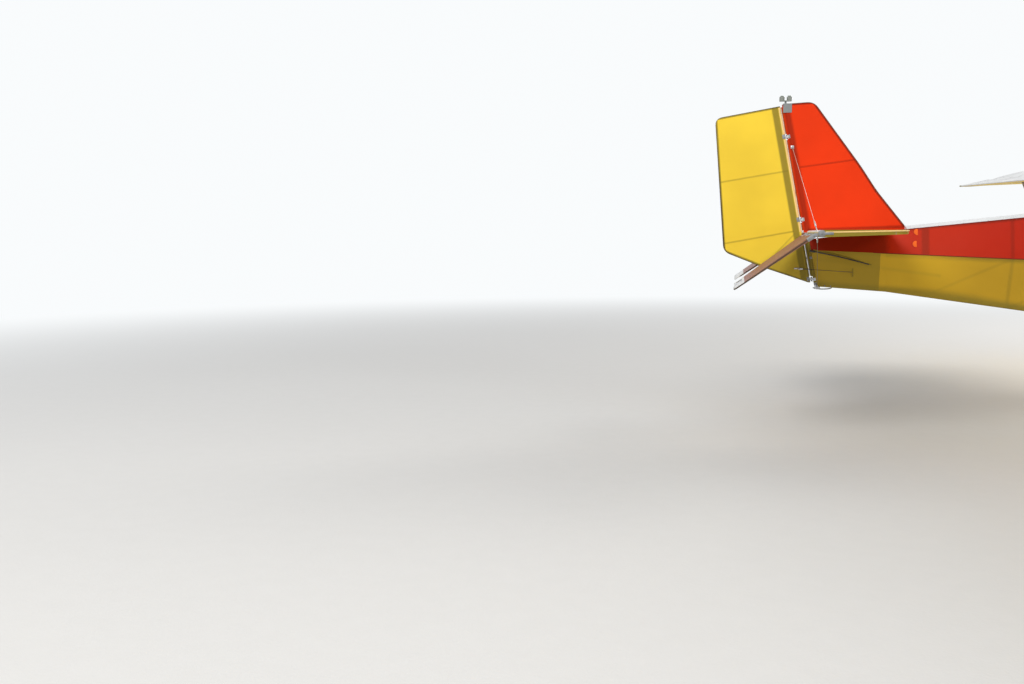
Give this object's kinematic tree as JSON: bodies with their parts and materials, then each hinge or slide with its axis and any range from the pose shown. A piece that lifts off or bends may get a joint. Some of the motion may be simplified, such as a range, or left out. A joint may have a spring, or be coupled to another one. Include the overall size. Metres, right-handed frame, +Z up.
{
  "type": "two-seat high-wing microlight aeroplane",
  "caption": "Strut-braced high-wing microlight aeroplane, tubes under red and yellow fabric, on a nose-wheel undercarriage, with hinged tail surfaces, flaps, ailerons and doors.",
  "frame": {"origin": "on the ground, under the middle of the aircraft's box", "axes": "+X forward to the propeller, +Y to the aircraft's left wing tip, +Z up"},
  "size_m": [5.6032, 9.5024, 2.3319],
  "materials": {
    "fabric_yellow": "satin",
    "fabric_red": "satin",
    "fabric_white": "satin",
    "fin_orange": "satin",
    "tube_aluminium": "satin",
    "fitting_steel": "satin",
    "strut_paint": "gloss",
    "gear_steel": "gloss",
    "cowl_red": "gloss",
    "cowl_yellow": "gloss",
    "glazing": "gloss",
    "engine_metal": "matte",
    "exhaust_steel": "satin",
    "propeller_black": "gloss",
    "spinner_white": "gloss",
    "tyre_rubber": "matte",
    "rim_silver": "satin",
    "seat_fabric": "matte",
    "panel_black": "matte",
    "tank_plastic": "satin",
    "beacon_lens": "gloss"
  },
  "bodies": {
    "airframe": {"rear_cover_lower": "fabric_yellow", "rear_cover_upper": "fabric_red", "rear_deck": "fabric_white", "tail_post": "tube_aluminium", "fin": "fin_orange", "stabiliser": "fabric_white", "elevator_brackets": "fitting_steel", "tail_stays": "fitting_steel", "beacon": "beacon_lens", "cabin_lower": "fabric_yellow", "cabin_upper": "fabric_red", "windscreen": "glazing", "rear_windows": "glazing", "cabin_frame": "tube_aluminium", "firewall": "tube_aluminium", "cowl_upper": "cowl_red", "cowl_lower": "cowl_yellow", "engine": "engine_metal", "exhaust": "exhaust_steel", "wing_centre": "fabric_white", "wing_left": "fabric_white", "wing_right": "fabric_white", "strut_front_left": "strut_paint", "strut_front_right": "strut_paint", "strut_rear_left": "strut_paint", "strut_rear_right": "strut_paint", "jury_struts": "strut_paint", "main_gear_bow": "gear_steel", "main_axles": "fitting_steel", "nose_leg_socket": "gear_steel", "seat_cushions": "seat_fabric", "seat_backs": "seat_fabric", "seat_frame": "tube_aluminium", "instrument_panel": "panel_black", "control_stick": "tube_aluminium", "pedals": "tube_aluminium", "fuel_tanks": "tank_plastic"},
    "propeller": {"propeller": "propeller_black", "spinner": "spinner_white"},
    "nose_leg": {"nose_fork": "gear_steel"},
    "nose_wheel": {"tyre_nose": "tyre_rubber", "rim_nose": "rim_silver"},
    "wheel_left": {"tyre_left": "tyre_rubber", "rim_left": "rim_silver"},
    "wheel_right": {"tyre_right": "tyre_rubber", "rim_right": "rim_silver"},
    "rudder": {"rudder": "fabric_yellow", "rudder_fittings": "fitting_steel"},
    "elevator": {"elevator": "fabric_white", "elevator_fittings": "fitting_steel", "trim_tab": "tube_aluminium"},
    "aileron_left": {"aileron_left": "fabric_white"},
    "aileron_right": {"aileron_right": "fabric_white"},
    "flap_left": {"flap_left": "fabric_white"},
    "flap_right": {"flap_right": "fabric_white"},
    "door_left": {"door_left": "fabric_red", "door_glass_left": "glazing"},
    "door_right": {"door_right": "fabric_red", "door_glass_right": "glazing"}
  },
  "joints": [
    {"name": "propeller_spin", "type": "hinge", "parent": "airframe", "child": "propeller", "pos_m": [2.63, 0, 1.165], "axis": [1, 0, 0], "continuous": true},
    {"name": "nose_steer", "type": "hinge", "parent": "airframe", "child": "nose_leg", "pos_m": [1.76, 0, 0.76], "axis": [-0.309, 0, 0.9511], "range_deg": [-18, 18]},
    {"name": "nose_wheel_spin", "type": "hinge", "parent": "nose_leg", "child": "nose_wheel", "pos_m": [1.96, 0, 0.17], "axis": [0, 1, 0], "continuous": true},
    {"name": "wheel_left_spin", "type": "hinge", "parent": "airframe", "child": "wheel_left", "pos_m": [0.48, 0.8, 0.17], "axis": [0, 1, 0], "continuous": true},
    {"name": "wheel_right_spin", "type": "hinge", "parent": "airframe", "child": "wheel_right", "pos_m": [0.48, -0.8, 0.17], "axis": [0, 1, 0], "continuous": true},
    {"name": "rudder_turn", "type": "hinge", "parent": "airframe", "child": "rudder", "pos_m": [-2.108, 0, 1.01], "axis": [-0.1925, 0, 0.9813], "range_deg": [-25, 25]},
    {"name": "elevator_turn", "type": "hinge", "parent": "airframe", "child": "elevator", "pos_m": [-2.177, 0, 1.365], "axis": [0, 1, 0], "range_deg": [0, 60]},
    {"name": "aileron_left_turn", "type": "hinge", "parent": "airframe", "child": "aileron_left", "pos_m": [0.02366, 2.86446, 1.88735], "axis": [0, 0.9997, 0.0262], "range_deg": [-20, 20]},
    {"name": "aileron_right_turn", "type": "hinge", "parent": "airframe", "child": "aileron_right", "pos_m": [0.02366, -2.86446, 1.88735], "axis": [0, 0.9997, -0.0262], "range_deg": [-20, 20]},
    {"name": "flap_left_turn", "type": "hinge", "parent": "airframe", "child": "flap_left", "pos_m": [0.02366, 0.45029, 1.82414], "axis": [0, -0.9997, -0.0262], "range_deg": [0, 35]},
    {"name": "flap_right_turn", "type": "hinge", "parent": "airframe", "child": "flap_right", "pos_m": [0.02366, -0.45029, 1.82414], "axis": [0, -0.9997, 0.0262], "range_deg": [0, 35]},
    {"name": "door_left_swing", "type": "hinge", "parent": "airframe", "child": "door_left", "pos_m": [0.85, 0.40998, 1.77], "axis": [1, 0, 0], "range_deg": [0, 78]},
    {"name": "door_right_swing", "type": "hinge", "parent": "airframe", "child": "door_right", "pos_m": [0.85, -0.40998, 1.77], "axis": [-1, 0, 0], "range_deg": [0, 78]}
  ],
  "couplings": [
    {"joint": "rudder_turn", "follows": "nose_steer", "ratio": -1.35},
    {"joint": "aileron_right_turn", "follows": "aileron_left_turn", "ratio": -1},
    {"joint": "flap_right_turn", "follows": "flap_left_turn", "ratio": 1}
  ]
}
